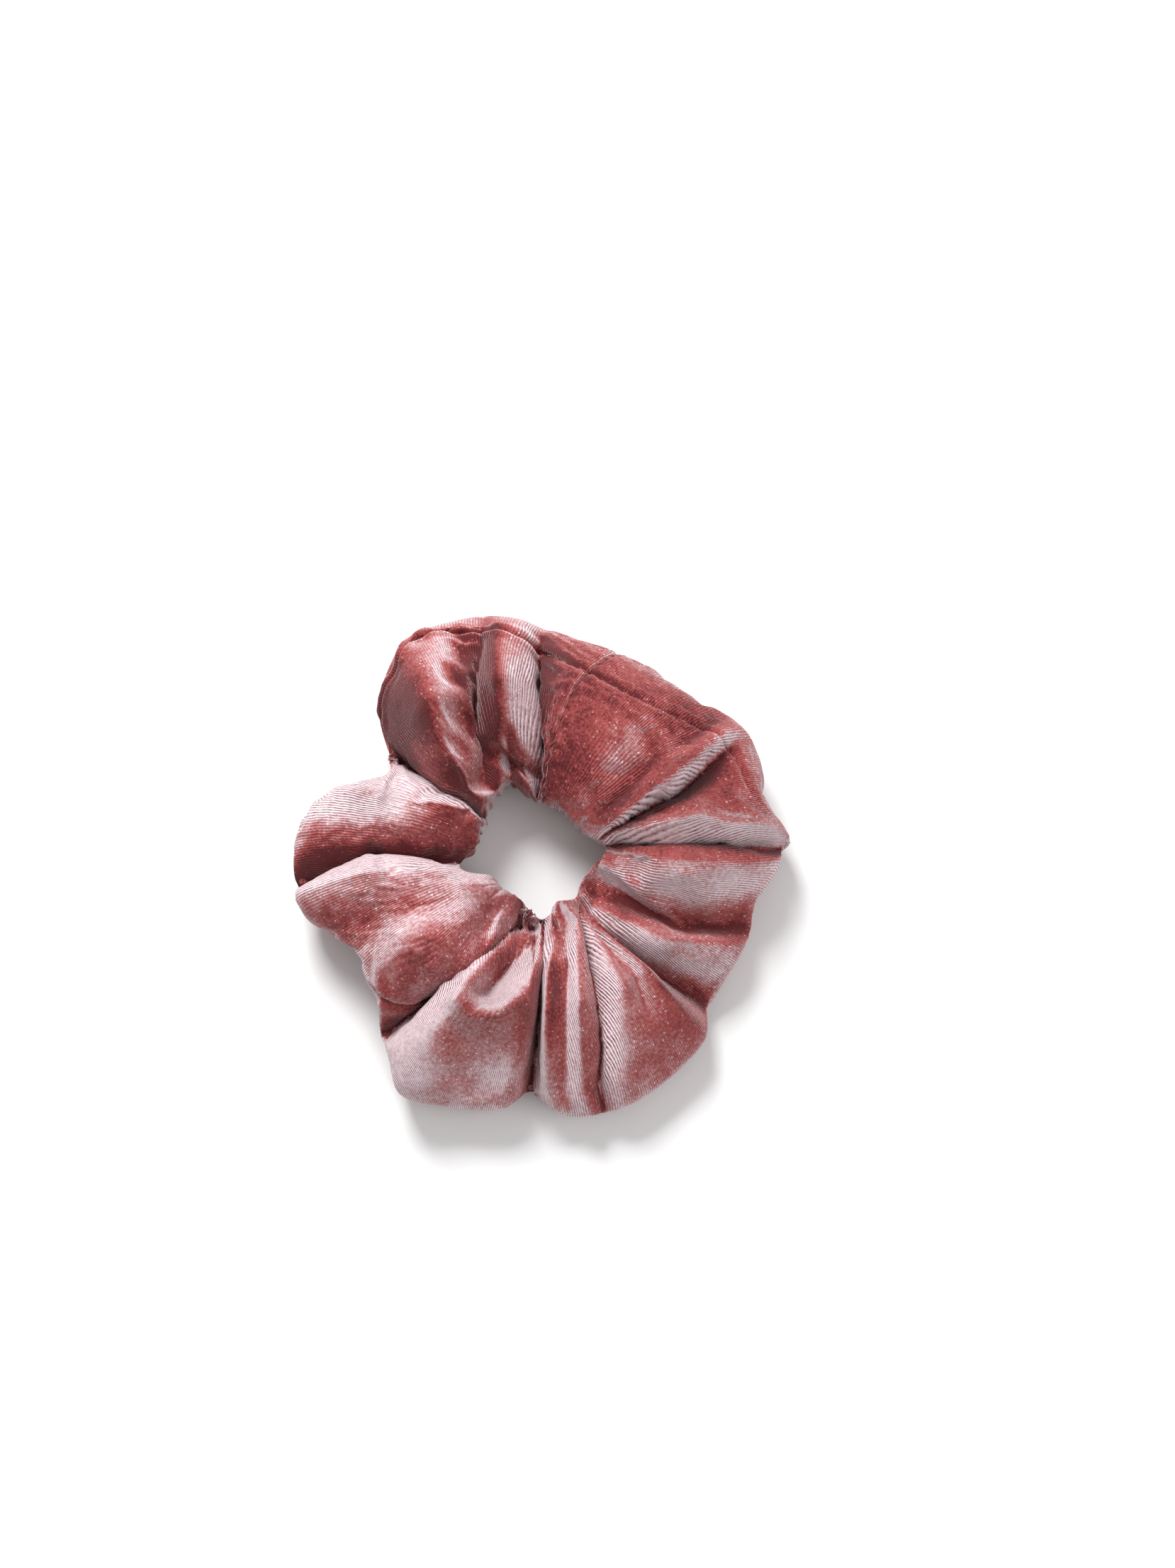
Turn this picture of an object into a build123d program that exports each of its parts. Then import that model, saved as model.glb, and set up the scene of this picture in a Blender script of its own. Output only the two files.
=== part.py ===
from build123d import *
from math import asin, cos, degrees, pi, radians, sin
import os

# A gathered hair tie: a hollow tube of pile cloth, pleated into lobes round a loop of flat elastic.
# Frame: origin at the middle of the ring, on the surface it lies on. +Z is up through the hole.
# +Y runs through the closing seam. +X is the way that the pulled half leaves the still half.
# Millimetres and degrees.

# Overall size of the gathered ring, lying relaxed
hole_radius = 14.0  # at the lobes, where the hole is narrowest
lobe_outer_radius = 58.5  # at the lobes, where the ring is widest
lobe_top = 36.0  # highest point of a lobe
valley_outer_radius = 54.0  # between two lobes
valley_top = 28.0
lobe_count = 12  # even, so that each half has whole lobes
underside_sink = 0.5  # how deep the round underside is pressed flat
sections_per_lobe = 4  # spans of the loft that makes one lobe

# Cloth
cloth_thickness = 1.2  # backing and pile

# Elastic
elastic_loop_length = 150.0  # round the middle of the band, relaxed
elastic_width = 6.0
elastic_thickness = 1.0
elastic_lap_length = 12.0
lap_clearance = 0.05  # between the two lapped layers
elastic_clearance = 0.9  # from the band to the inside of the cover, between two lobes

# Thread and stitches
thread_radius = 0.25
long_seam_position = 53.0  # degrees up round the tube, from its outermost line
long_seam_pitch = 3.0  # along the seam
stitch_share = 0.7  # of the pitch that shows as thread
seam_lift = 0.4  # from the cloth to the near side of a stitch
closing_seam_setback = 3.0  # from the end of the pulled half
closing_seam_pitch = 3.0
zigzag_pitch = 1.6  # along the band
zigzag_margin = 1.0  # from a zigzag's turns to the edges of the band and the ends of the lap
zigzag_lift = 0.05  # from the band to the near side of a stitch

# Split between the two halves
split_gap = 0.3

# Worked-out sizes
elastic_radius = elastic_loop_length / (2 * pi)
valley_hole_radius = elastic_radius - elastic_thickness / 2 - elastic_clearance - cloth_thickness
lobe_pitch = 360 / lobe_count


def tube_section(angle):
    """Centre radius, centre height and half sizes of the tube's oval section at an angle round the ring."""
    rise = (1 - cos(radians(lobe_count * (angle - 90)))) / 2
    inner = valley_hole_radius + (hole_radius - valley_hole_radius) * rise
    outer = valley_outer_radius + (lobe_outer_radius - valley_outer_radius) * rise
    top = valley_top + (lobe_top - valley_top) * rise
    half_height = (top + underside_sink) / 2
    return (inner + outer) / 2, top - half_height, (outer - inner) / 2, half_height


def radial_plane(angle, radius=0.0, height=0.0):
    """A plane across the ring at an angle: its x points outwards and its y points up."""
    outwards = Vector(cos(radians(angle)), sin(radians(angle)), 0)
    across = Vector(sin(radians(angle)), -cos(radians(angle)), 0)
    return Plane(origin=outwards * radius + Vector(0, 0, height), x_dir=outwards, z_dir=across)


def on_tube(angle, turn, lift):
    """A point on the tube at an angle round the ring and a turn round its section, lifted off the cloth."""
    radius, height, half_width, half_height = tube_section(angle)
    x = half_width * cos(radians(turn))
    y = half_height * sin(radians(turn))
    normal = Vector(x / half_width**2, y / half_height**2).normalized()
    return radial_plane(angle, radius, height).from_local_coords(Vector(x, y) + normal * lift)


def lobe_sections(first, inset):
    """The oval sections of one lobe, which starts at an angle, each smaller by an inset."""
    sections = []
    for step in range(sections_per_lobe + 1):
        angle = first + lobe_pitch * step / sections_per_lobe
        radius, height, half_width, half_height = tube_section(angle)
        with BuildSketch(radial_plane(angle, radius, height)) as oval:
            Ellipse(half_width - inset, half_height - inset)
        sections.append(oval.sketch)
    return sections


def long_seam_stitches(first, last):
    """The two ends of each stitch of the seam that runs along the tube between two angles."""
    radius, _, half_width, _ = tube_section(first)
    seam_radius = radius + half_width * cos(radians(long_seam_position))
    count = round(radians(last - first) * seam_radius / long_seam_pitch)
    pitch = (last - first) / count
    lift = seam_lift + thread_radius
    stitches = []
    for number in range(count):
        start = first + pitch * (number + (1 - stitch_share) / 2)
        end = start + pitch * stitch_share
        stitches.append([on_tube(angle, long_seam_position, lift) for angle in (start, end)])
    return stitches


# Angles of the ends of the halves, at the middle of the tube's width
split_angle = degrees(asin(split_gap / 2 / elastic_radius))
still_side = (90, 270)
pulled_side = (-90, 90)

# Cover, still half: half of the velvet tube, open at its two cut ends
with BuildPart() as cover_still_half:
    for lobe in range(lobe_count // 2):
        loft(lobe_sections(still_side[0] + lobe_pitch * lobe, 0))
    for lobe in range(lobe_count // 2):
        loft(lobe_sections(still_side[0] + lobe_pitch * lobe, cloth_thickness), mode=Mode.SUBTRACT)
    split(bisect_by=Plane.XY, keep=Keep.TOP)
    split(bisect_by=Plane.YZ.offset(-split_gap / 2), keep=Keep.BOTTOM)

# Cover, pulled half: the other half of the velvet tube
with BuildPart() as cover_pulled_half:
    for lobe in range(lobe_count // 2):
        loft(lobe_sections(pulled_side[0] + lobe_pitch * lobe, 0))
    for lobe in range(lobe_count // 2):
        loft(lobe_sections(pulled_side[0] + lobe_pitch * lobe, cloth_thickness), mode=Mode.SUBTRACT)
    split(bisect_by=Plane.XY, keep=Keep.TOP)
    split(bisect_by=Plane.YZ.offset(split_gap / 2), keep=Keep.TOP)

# Elastic: one flat band standing on edge inside the tube, where the gathers hold it.
# Its join is a lap just past the +Y split, all of it on the pulled half.
elastic_height = tube_section(90)[1]
lap_angle = degrees(elastic_lap_length / elastic_radius)
lapped_radius = elastic_radius + elastic_thickness + lap_clearance

with BuildPart() as elastic_still_half:
    with BuildSketch(radial_plane(still_side[0] + split_angle)):
        with Locations((elastic_radius, elastic_height)):
            Rectangle(elastic_thickness, elastic_width)
    revolve(axis=Axis.Z, revolution_arc=180 - 2 * split_angle)

with BuildPart() as elastic_pulled_half:
    with BuildSketch(radial_plane(pulled_side[0] + split_angle)):
        with Locations((elastic_radius, elastic_height)):
            Rectangle(elastic_thickness, elastic_width)
    revolve(axis=Axis.Z, revolution_arc=180 - 2 * split_angle)

# The other end of the same band, lapped outside the first
with BuildPart() as elastic_lapped_end:
    with BuildSketch(radial_plane(pulled_side[1] - split_angle - lap_angle)):
        with Locations((lapped_radius, elastic_height)):
            Rectangle(elastic_thickness, elastic_width)
    revolve(axis=Axis.Z, revolution_arc=lap_angle)

# Zigzag thread that holds the lap, as it shows on the outer layer
zigzag_radius = lapped_radius + elastic_thickness / 2 + zigzag_lift + thread_radius
zigzag_length = elastic_lap_length - 2 * zigzag_margin
zigzag_count = round(zigzag_length / zigzag_pitch)
zigzag_turn = degrees(zigzag_length / zigzag_count / elastic_radius)
zigzag_start = pulled_side[1] - split_angle - lap_angle + degrees(zigzag_margin / elastic_radius)
zigzag_reach = elastic_width / 2 - zigzag_margin

with BuildPart() as elastic_join_stitching:
    for number in range(zigzag_count):
        side = 1 if number % 2 else -1
        first_angle = zigzag_start + zigzag_turn * (number + (1 - stitch_share) / 2)
        last_angle = first_angle + zigzag_turn * stitch_share
        low = radial_plane(first_angle, zigzag_radius, elastic_height - side * zigzag_reach).origin
        high = radial_plane(last_angle, zigzag_radius, elastic_height + side * zigzag_reach).origin
        with BuildSketch(Plane(origin=low, z_dir=high - low)):
            Circle(thread_radius)
        extrude(amount=(high - low).length)

# Long seam thread, a half on each side. It stops a setback short of the closing seam.
seam_end_angle = split_angle + degrees(closing_seam_setback / lobe_outer_radius)

with BuildPart() as long_seam_still_half:
    for start, end in long_seam_stitches(still_side[0] + split_angle, still_side[1] - split_angle):
        with BuildSketch(Plane(origin=start, z_dir=end - start)):
            Circle(thread_radius)
        extrude(amount=(end - start).length)

with BuildPart() as long_seam_pulled_half:
    for start, end in long_seam_stitches(pulled_side[0] + split_angle, pulled_side[1] - 2 * seam_end_angle):
        with BuildSketch(Plane(origin=start, z_dir=end - start)):
            Circle(thread_radius)
        extrude(amount=(end - start).length)

# Closing seam thread: stitches round the tube where its two ends were joined
closing_seam_angle = pulled_side[1] - seam_end_angle
_, _, seam_half_width, seam_half_height = tube_section(closing_seam_angle)
closing_seam_length = pi * (seam_half_width + seam_half_height)
closing_seam_count = round(closing_seam_length / closing_seam_pitch)
closing_seam_turn = 360 / closing_seam_count

with BuildPart() as closing_seam:
    for number in range(closing_seam_count):
        first_turn = closing_seam_turn * number
        last_turn = first_turn + closing_seam_turn * stitch_share
        lift = seam_lift + thread_radius
        first_point = on_tube(closing_seam_angle, first_turn, lift)
        last_point = on_tube(closing_seam_angle, last_turn, lift)
        if min(first_point.Z, last_point.Z) > 2 * thread_radius:
            with BuildSketch(Plane(origin=first_point, z_dir=last_point - first_point)):
                Circle(thread_radius)
            extrude(amount=(last_point - first_point).length)

# Labels and files
os.makedirs("parts", exist_ok=True)

cover_still_half.part.label = "cover_still_half"
export_step(cover_still_half.part, "parts/cover_still_half.step")

cover_pulled_half.part.label = "cover_pulled_half"
export_step(cover_pulled_half.part, "parts/cover_pulled_half.step")

elastic_still_half.part.label = "elastic_still_half"
export_step(elastic_still_half.part, "parts/elastic_still_half.step")

elastic_pulled_half.part.label = "elastic_pulled_half"
export_step(elastic_pulled_half.part, "parts/elastic_pulled_half.step")

elastic_lapped_end.part.label = "elastic_lapped_end"
export_step(elastic_lapped_end.part, "parts/elastic_lapped_end.step")

elastic_join_stitching.part.label = "elastic_join_stitching"
export_step(elastic_join_stitching.part, "parts/elastic_join_stitching.step")

long_seam_still_half.part.label = "long_seam_still_half"
export_step(long_seam_still_half.part, "parts/long_seam_still_half.step")

long_seam_pulled_half.part.label = "long_seam_pulled_half"
export_step(long_seam_pulled_half.part, "parts/long_seam_pulled_half.step")

closing_seam.part.label = "closing_seam"
export_step(closing_seam.part, "parts/closing_seam.step")
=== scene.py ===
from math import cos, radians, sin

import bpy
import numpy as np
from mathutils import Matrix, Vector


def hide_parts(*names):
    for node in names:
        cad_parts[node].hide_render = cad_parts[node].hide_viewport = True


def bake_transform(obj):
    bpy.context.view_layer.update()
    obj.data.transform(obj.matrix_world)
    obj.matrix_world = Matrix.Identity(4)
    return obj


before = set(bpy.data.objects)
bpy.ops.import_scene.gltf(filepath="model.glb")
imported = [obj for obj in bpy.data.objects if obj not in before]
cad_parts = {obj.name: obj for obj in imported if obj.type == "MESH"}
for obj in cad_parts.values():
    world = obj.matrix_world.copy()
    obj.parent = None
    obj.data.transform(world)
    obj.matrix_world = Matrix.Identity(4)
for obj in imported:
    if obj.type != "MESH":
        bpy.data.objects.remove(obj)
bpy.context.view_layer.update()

# %% [markdown]
# # A gathered velvet hair tie
# The real object is a sewn tube of velvet that a loop of elastic gathers into soft lobes.
# The CAD frame holds its size, its two halves and the slide that stretches it. This lesson makes
# the gathered cloth, its seams and the finish of the velvet.
# Everything is in metres, in the CAD frame: +Z up through the hole, +Y through the closing seam.

MM = 0.001


def bell(distance, width):
    """A bell curve: e to the power of minus the square of a distance over a width."""
    return np.exp(-((distance / width) ** 2))


# %% [markdown]
# ## The ring in plan
# Gathered cloth has no plain outline. Seen from above, each lobe reaches out by its own amount,
# and the hole is pinched where lobes bulge into it. Both outlines are smooth closed curves through
# a few angles and radii.

# %% Smooth closed curves
LAYOUT_TURN = 15.0  # degrees that the lobe layout is turned, which brings the closing seam to +Y


def round_curve(points, at):
    """A periodic Catmull-Rom curve through (angle, value) points, read at angles in degrees.

    Each value is a cubic whose slopes come from the points on either side.
    """
    points = sorted((a % 360, value) for a, value in points)
    a = np.array([p[0] for p in points])
    y = np.array([p[1] for p in points], float)
    a = np.concatenate([a[-2:] - 360, a, a[:2] + 360])
    y = np.concatenate([y[-2:], y, y[:2]])
    slope = np.zeros_like(y)
    slope[1:-1] = (y[2:] - y[:-2]) / (a[2:] - a[:-2])
    at = np.asarray(at) % 360
    i = np.clip(np.searchsorted(a, at, side="right") - 1, 1, len(a) - 3)
    h = a[i + 1] - a[i]
    t = (at - a[i]) / h
    return (
        (2 * t**3 - 3 * t**2 + 1) * y[i]
        + (t**3 - 2 * t**2 + t) * h * slope[i]
        + (3 * t**2 - 2 * t**3) * y[i + 1]
        + (t**3 - t**2) * h * slope[i + 1]
    )


# Outer rim, in degrees and mm
RIM = [
    (129, 53), (120, 57), (108, 57), (96, 55), (85, 52), (76, 50), (62, 49.5), (50, 50.5), (40, 52.5),
    (30, 55), (20, 55), (11, 54), (4, 57.5), (-1, 57), (-6, 54), (-12, 51.5), (-22, 52), (-34, 51.5),
    (-42, 52.5), (-48, 56.5), (-57, 58.5), (-66, 60), (-75, 61), (-84, 59), (-91, 54), (-97, 58),
    (-108, 60), (-118, 62), (-124, 57), (-130, 53), (-138, 48.5), (-148, 46.5), (-156, 49),
    (-165, 53.5), (-176, 55), (172, 53), (164, 48.5), (157, 41), (151, 38), (145, 41), (137, 48),
]
# Edge of the hole
HOLE = [
    (134, 14.5), (120, 16), (106, 16.5), (97, 13), (86, 11.5), (60, 11), (32, 10.5), (16, 12.5),
    (4, 16), (-8, 14.5), (-20, 13), (-36, 12.5), (-50, 14), (-68, 12.5), (-82, 15.5), (-106, 11.5),
    (-130, 11), (-150, 11.5), (-163, 16.5), (-172, 17), (178, 13.5), (163, 13), (148, 13.5),
]

# %% [markdown]
# ## Ridges and valleys
# Gathered cloth falls into ridges and valleys from the hole to the rim. Each is a rib of the shape:
# its angle and its height at three distances from the middle. Between two ribs the height runs over
# a smooth curve. A valley under another fold is crisp, so the cloth rises steeply, and a ridge is
# round.

# %% The ribs
DISTANCES = np.array([17.0, 36.0, 54.0])  # mm
# Name, angles in degrees, heights in mm, and crispness: 0 is round, 3 is a sharp crease
RIBS = [
    ("valley before the narrow ridges", (-84, -87.5, -91), (10, 14, 12), 2.2),
    ("narrow ridge", (-77, -82.5, -86.5), (23, 26, 21), 0),
    ("dip between the narrow ridges", (-68, -77, -82), (20, 23, 19), 0.5),
    ("second narrow ridge", (-60, -73, -78), (23, 27, 22), 0),
    ("valley before the fan", (-50, -67, -75), (14, 18, 15), 2.2),
    ("fan, first ridge", (-49, -60, -68), (19, 26, 23), 0),
    ("fan, pleat", (-48, -54, -60), (17, 24, 23), 0.4),
    ("fan, second ridge", (-47, -50, -49), (18, 26, 24), 0),
    ("valley after the fan", (-45, -45.5, -41.5), (14, 17, 15), 1.6),
    ("right lower ridge", (-41, -34, -24.5), (20, 26, 23), 0),
    ("right hollow", (-35, -27.5, -18), (14, 18, 18), 0),
    ("right upper ridge", (0, -3, -4), (23, 27, 24), 0),
    ("valley under the flap", (7, 3, -0.5), (12, 15, 13), 2.4),
    ("edge of the flap", (9, 7, 4), (24, 30, 25), 0),
    ("wedge under the long ridge", (10.5, 20.5, 28), (19, 20, 26.5), 2.4),
    ("long ridge", (12.5, 24, 30), (28, 34, 27.5), 0),
    ("hollow beside the long ridge", (27, 32, 37), (24, 28, 25), 0),
    ("panel", (52, 53, 55), (27, 31, 27), 0),
    ("dip at the closing seam", (80, 75, 70), (25, 29, 26), 0),
    ("valley before the bulges", (88, 89, 88), (11, 16, 23), 2.4),
    ("second bulge", (104, 99, 97), (28, 35, 30), 0),
    ("valley between the bulges", (125, 108, 102), (20, 26, 27), 1.2),
    ("first bulge", (136, 127, 118), (27, 35, 31), 0),
    ("deep valley on the left", (146, 142, 150), (7, 8, 7), 2.4),
    ("short lobe", (152, 168, 171), (22, 26, 22), 0),
    ("valley before the wide lobe", (187, 183.5, 188), (7, 10, 8), 2.4),
    ("wide lobe, first ridge", (200, 193, 193), (21, 27, 24), 0),
    ("wide lobe, hollow", (220, 208, 204), (21, 24, 20), 0),
    ("wide lobe, second ridge", (232, 222, 219), (22, 27, 22), 0),
    ("valley before the pocket lobe", (262, 237.5, 231.5), (8, 12, 10), 2.4),
    ("pocket lobe, first ridge", (268, 245, 241), (19, 28, 25), 0),
    ("pocket lobe, second ridge", (275, 264, 263), (20, 27, 23), 0),
]
print(len(RIBS), "ribs")


def top_height(angle, distance):
    """Height of the top of the cloth in mm, at plan angles in degrees and distances in mm.

    A rib's angle is interpolated over one over the distance, which keeps a fold straight. The
    height goes from the rib before a point to the one after it over a cubic, which is level at a
    round rib and steep at a crisp one.
    """
    nearness = -1 / distance
    angles = np.array([np.interp(nearness, -1 / DISTANCES, rib[1]) for rib in RIBS])
    heights = np.array([np.interp(distance, DISTANCES, rib[2]) for rib in RIBS])
    crisp = np.array([rib[3] for rib in RIBS])
    angles = np.maximum.accumulate(angles - angles[0], axis=0)
    start = np.interp(nearness, -1 / DISTANCES, RIBS[0][1])
    place = (angle - start) % 360
    before = (place[None] >= angles).sum(0) - 1
    after = (before + 1) % len(RIBS)
    low = np.take_along_axis(angles, before[None], 0)[0]
    high = np.where(after == 0, 360.0, np.take_along_axis(angles, after[None], 0)[0])
    s = np.clip((place - low) / np.maximum(high - low, 1e-6), 0, 1)
    first, second = crisp[before], crisp[after]
    share = 3 * s**2 - 2 * s**3 + first * (s**3 - 2 * s**2 + s) + second * (s**3 - s**2)
    floor = np.take_along_axis(heights, before[None], 0)[0]
    return floor + (np.take_along_axis(heights, after[None], 0)[0] - floor) * share


# %% [markdown]
# ## Small folds
# A pocket or a dimple is too small for a rib. Each is a stroke: a short line in plan that pushes
# the cloth down or pulls it up, most along the line and less and less to its sides.

# %% Strokes
LIP = [(-9, -21), (-14, -28), (-17, -34), (-13, -39), (-7, -39), (-2, -34), (1.5, -27)]
# Rise and width in mm, and points of the line in mm, before the layout is turned
STROKES = [
    ("hollow of the pocket", -9.0, 3.2, [(-1.5, -17), (-4, -22), (-8, -29), (-10.5, -33)]),
    ("lip of the pocket", 3.0, 2.4, LIP),
    ("dimple of the short lobe", -3.0, 5.5, [(-38, 6), (-30, 8)]),
    ("curl of the short lobe", 2.0, 3.6, [(-40, 13), (-33, 17), (-25, 16)]),
    ("nick in the bulge", -3.5, 1.3, [(-6, 23), (-5, 16)]),
]


def stroke_sum(strokes, x, y):
    """What the strokes add: each one's amount times a bell curve of the distance to its line."""
    total = np.zeros_like(x)
    for _, amount, width, line in strokes:
        nearest = np.full_like(x, 1e9)
        for (x0, y0), (x1, y1) in zip(line, line[1:]):
            along = ((x - x0) * (x1 - x0) + (y - y0) * (y1 - y0)) / ((x1 - x0) ** 2 + (y1 - y0) ** 2)
            along = np.clip(along, 0, 1)
            nearest = np.minimum(nearest, np.hypot(x - x0 - along * (x1 - x0), y - y0 - along * (y1 - y0)))
        total += amount * bell(nearest, width)
    return total


print(len(STROKES), "strokes")


# %% [markdown]
# ## Where the seams run
# Gathering twists the tube, so its long seam wanders once round it on its way round the ring. The
# ends meet at a slanted closing seam. Grid lines follow both, to sew them into the surface later.

# %% Seam paths
# Angle round the ring and turn round the tube, in degrees
SEAM_TURN = [
    (0, 0), (8, 22), (16, 38), (24.5, 40), (35, 48.5), (52, 60), (71, 60), (81, 57), (92, 48), (101, 42),
    (111, 35), (119, 30), (126, 36), (140, 20), (160, 0), (190, -15), (215, 0), (228, 40), (236, 78),
    (250, 125), (262, 165), (275, 195), (300, 250), (330, 315), (345, 342),
]
CLOSING_SEAM_ANGLE = 76.0
CLOSING_SEAM_SLANT = ((17, 36, 48, 54), (6.0, -1.0, -8.0, -10.0))  # distances in mm, and degrees
CLOSING_SEAM_CROWD = (1.8, 0.012)  # how much closer grid lines are at the seam, and over what share
LONG_SEAM_CROWD = (2.2, 0.05)


def seam_turn(ring):
    """Turn of the long seam round the tube, in degrees, at plan angles round the ring.

    It grows by a whole turn on its way round, so it is a periodic curve plus a straight ramp.
    """
    rest = [(a, turn - a) for a, turn in SEAM_TURN]
    return round_curve(rest, ring) + ring


def spread(count, centre_density, width):
    """Places from 0 to 1 that crowd together near 0, by a bell curve of density."""
    fine = np.linspace(0, 1, 4001)
    near = np.minimum(fine, 1 - fine)
    density = 1 + (centre_density - 1) * bell(near, width)
    total = np.concatenate([[0], np.cumsum((density[1:] + density[:-1]) / 2)])
    return np.interp(np.arange(count) / count, total / total[-1], fine)


print("long seam turns by", SEAM_TURN[-1][1] - SEAM_TURN[0][1], "degrees or more on its way round")


# %% [markdown]
# ## From plan to tube
# The cloth is a tube, so each place round the ring gets a closed section. Its top half follows the
# ribs, and the table presses its underside nearly flat.

# %% The gathered tube as a grid
CREASE_PINCH = 11.0  # mm that the side of the tube is drawn in below a valley
ARCH_FROM, ARCH_OVER = 8, 20  # mm: heights at the rim from which, and over which, a lobe is full
SIDE_HEIGHT, SIDE_LIFT = 12.5, 4.0  # mm: height of the tube's widest place, and its change
UNDERSIDE = 0.8  # mm above the table
TUCK_BELOW, TUCK_SHARE, TUCK_MOST = 27, 0.35, 6  # how a low top draws up the underside, in mm
LEAST_CLOTH = 10.5  # mm of height that a low place keeps
TOP_POWER, UNDER_POWER = 0.82, 0.68  # they round the shoulders of a section
PLEATS = 41  # small gathers at the hole and underneath
PLEAT_DEPTH = 3.3  # mm


def pleat_depth(ring, turn, share):
    """Depth in mm of the small gathers, which are deepest at the hole and on the underside.

    It is a cosine counted round the ring with a wavering phase, times a share that fades towards
    the rim and the top.
    """
    around = np.radians(ring)
    wave = 0.5 - 0.5 * np.cos(PLEATS * around + 1.3 * np.sin(3 * around + 1) + 0.9 * np.sin(7 * around))
    return PLEAT_DEPTH * wave * np.clip(-np.sin(turn), 0, 1) * np.clip(1.1 - share, 0.2, 1)


def ring_and_turn(around, across):
    """Place round the ring in degrees, and turn round the tube in radians, of each grid point."""
    ring = CLOSING_SEAM_ANGLE + 360 * spread(around, *CLOSING_SEAM_CROWD)
    turn = 360 * spread(across, *LONG_SEAM_CROWD)
    ring, turn = np.meshgrid(ring, turn, indexing="ij")
    return ring, np.radians(turn + seam_turn(ring))


def gathered_tube(around, across):
    """Points of the cover, (around, across, 3), in metres.

    The first index goes round the ring from the closing seam, the second round the tube from the
    long seam. The distance from the middle is the tube's middle plus half its width times the
    cosine of the turn. The height is the side's plus the rise to the top or the drop to the
    underside, times a power of the sine of the turn. Below a valley the side is drawn in.
    """
    ring, turn = ring_and_turn(around, across)
    from_seam = (ring - CLOSING_SEAM_ANGLE + 180) % 360 - 180
    for _ in range(2):
        rim, hole = round_curve(RIM, ring), round_curve(HOLE, ring)
        distance = (rim + hole) / 2 + (rim - hole) / 2 * np.cos(turn)
        slant = np.interp(distance, *CLOSING_SEAM_SLANT) * bell(from_seam, 18)
        ring = CLOSING_SEAM_ANGLE + from_seam + slant
    top = top_height(ring, distance)
    share = np.clip((distance - hole) / (rim - hole), 0, 1)
    arch = np.clip((top_height(ring, rim) - ARCH_FROM) / ARCH_OVER, 0, 1)
    edge = SIDE_HEIGHT + SIDE_LIFT * (arch - 0.5)
    tuck = np.clip((TUCK_BELOW - top) * TUCK_SHARE, 0, TUCK_MOST)
    tuck = tuck * np.sin(np.pi * np.clip(share, 0.02, 0.98)) ** 0.5
    tuck = np.minimum(tuck, np.maximum(top - LEAST_CLOTH, 0) * 0.6)
    under = UNDERSIDE + SIDE_LIFT * (1 - arch) * share**2 + tuck
    rise = np.abs(np.sin(turn))
    upper = edge + (top - edge) * rise**TOP_POWER
    lower = edge - (edge - under) * rise**UNDER_POWER
    z = np.where(np.sin(turn) >= 0, upper, lower)
    below = np.clip(-np.sin(turn) + 0.25, 0, 1) * np.clip(np.cos(turn), 0, 1)
    distance = distance - CREASE_PINCH * (1 - arch) * below
    pleat = pleat_depth(ring, turn, share)
    z = z + pleat * np.abs(np.sin(turn))
    distance = distance + pleat * np.clip(-np.cos(turn), 0, 1) ** 2
    a = np.radians(ring + LAYOUT_TURN)
    return np.stack([distance * np.cos(a), distance * np.sin(a), z], -1) * MM


def grid_faces(around, across):
    """Quads of a grid that closes on itself both ways, wound so that they face outwards."""
    index = np.arange(around * across).reshape(around, across)
    right = np.roll(index, -1, 0)
    return np.stack([index, right, np.roll(right, -1, 1), np.roll(index, -1, 1)], -1).reshape(-1, 4)


def new_mesh(name, points, faces, caps=()):
    """A smooth-shaded mesh object at the origin: arrays of points and quads, and a list of caps."""
    mesh = bpy.data.meshes.new(name)
    mesh.from_pydata(points.reshape(-1, 3).tolist(), [], [*faces.tolist(), *caps])
    mesh.polygons.foreach_set("use_smooth", np.ones(len(mesh.polygons), bool))
    mesh.update()
    piece = bpy.data.objects.new(name, mesh)
    bpy.context.collection.objects.link(piece)
    return piece


def square(name, half):
    """A flat square on the ground, by half its side."""
    corners = np.array([(-half, -half, 0), (half, -half, 0), (half, half, 0), (-half, half, 0)])
    return new_mesh(name, corners, np.array([[0, 1, 2, 3]]))


def unit(vectors):
    """Vectors scaled to length 1."""
    return vectors / np.maximum(np.linalg.norm(vectors, axis=-1, keepdims=True), 1e-12)


def grid_normals(points):
    """Outward unit normals of a grid that closes both ways: the cross product of its two steps."""
    along = np.roll(points, -1, 0) - np.roll(points, 1, 0)
    over = np.roll(points, -1, 1) - np.roll(points, 1, 1)
    return unit(np.cross(along, over))


AROUND, ACROSS = 540, 140
designed = gathered_tube(AROUND, ACROSS)
print("cover grid", designed.shape)

# %% [markdown]
# ## Letting the cloth settle
# A drawn shape is too tidy for cloth. Blender's Cloth makes it settle: the cloth gets more length
# than the drawn shape has, most at the hole and underneath, and a little air inside. Soft pins hold
# the large folds, the seams and the grips of the elastic, and the spare length buckles into puckers.
# It runs on every second grid line and at ten times the size, where the solver's own tolerances are
# small enough.

# %% Cloth simulation
SIM_SCALE = 10.0
SIM_FRAMES = 16
GRIP_EVERY = 6  # grid lines from one gripped place to the next
HOLE_BLUR = 2.2  # grid lines over which the finest puckers at the hole are blurred
# Where the top lies smooth: middle and width in degrees, and the share of the settling left out
CALM = [
    ("panel", 60, 24, 0.75), ("flank of the long ridge", 19, 9, 0.85),
    ("short lobe", 168, 14, 0.7), ("wide lobe", 208, 18, 0.65),
]
MOST_CALM = 0.9


def distance_across(points, axis):
    """Distance in mm of each grid point from grid line 0, measured along the other grid lines."""
    step = np.linalg.norm(np.roll(points, -1, axis) - points, axis=-1)
    ahead = np.cumsum(step, axis) - step
    return np.minimum(ahead, step.sum(axis, keepdims=True) - ahead) / MM


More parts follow.
